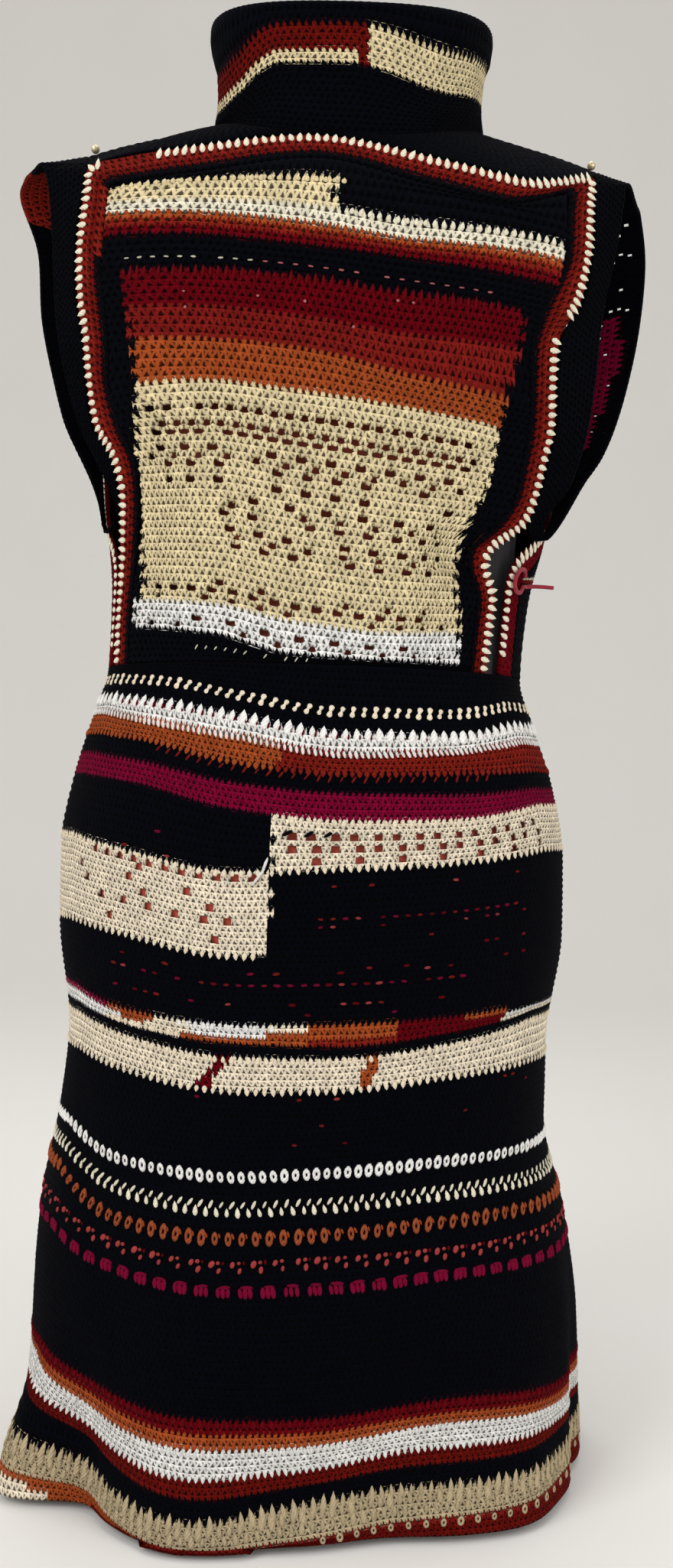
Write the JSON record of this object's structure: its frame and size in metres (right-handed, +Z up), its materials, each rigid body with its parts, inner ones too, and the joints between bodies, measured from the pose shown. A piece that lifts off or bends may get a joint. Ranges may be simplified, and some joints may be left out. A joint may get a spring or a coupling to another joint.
{
  "type": "striped crochet coat on a limbless dress form with a stand",
  "caption": "Long multicoloured crochet coat with a tall collar, yoke and short wing sleeves, filled out on a limbless dress form with a pole and round base.",
  "frame": {"origin": "on the ground, at the centre of the part's footprint box, which is in the plane of the base's underside", "axes": "+Z up; the back of the coat, with its striped back panel, faces -Y and the front opening faces +Y; +X is the right-hand side of somebody who looks at the back"},
  "size_m": [0.5098, 0.308, 1.1071],
  "materials": {
    "crochet_navy": "crocheted wool and acrylic yarn, near-black navy with stripes of other yarns",
    "crochet_tan": "crocheted yarn, tan-cream eyelet panel with coloured rows",
    "crochet_rust": "crocheted yarn, rust rows with a cream picot edge",
    "tie_yarn": "twisted crimson yarn end",
    "pin_head": "round pearl-coloured head",
    "form_cover": "plain stretched jersey over a foam body",
    "cap_wood": "stained and varnished",
    "pole_metal": "satin tube",
    "base_metal": "black powder coat"
  },
  "bodies": {
    "root": {"skirt_back": "crochet_navy", "skirt_front_left": "crochet_navy", "skirt_front_right": "crochet_navy", "bodice_front_left": "crochet_navy", "bodice_front_right": "crochet_navy", "sleeve_left": "crochet_navy", "sleeve_right": "crochet_navy", "yoke": "crochet_navy", "collar": "crochet_navy", "bodice_back": "crochet_tan", "back_edging": "crochet_rust", "front_edging_left": "crochet_rust", "front_edging_right": "crochet_rust", "side_tie": "tie_yarn", "shoulder_pin_left": "pin_head", "shoulder_pin_right": "pin_head", "form_torso": "form_cover", "form_neck_cap": "cap_wood", "form_pole": "pole_metal", "form_base": "base_metal"}
  },
  "joints": []
}
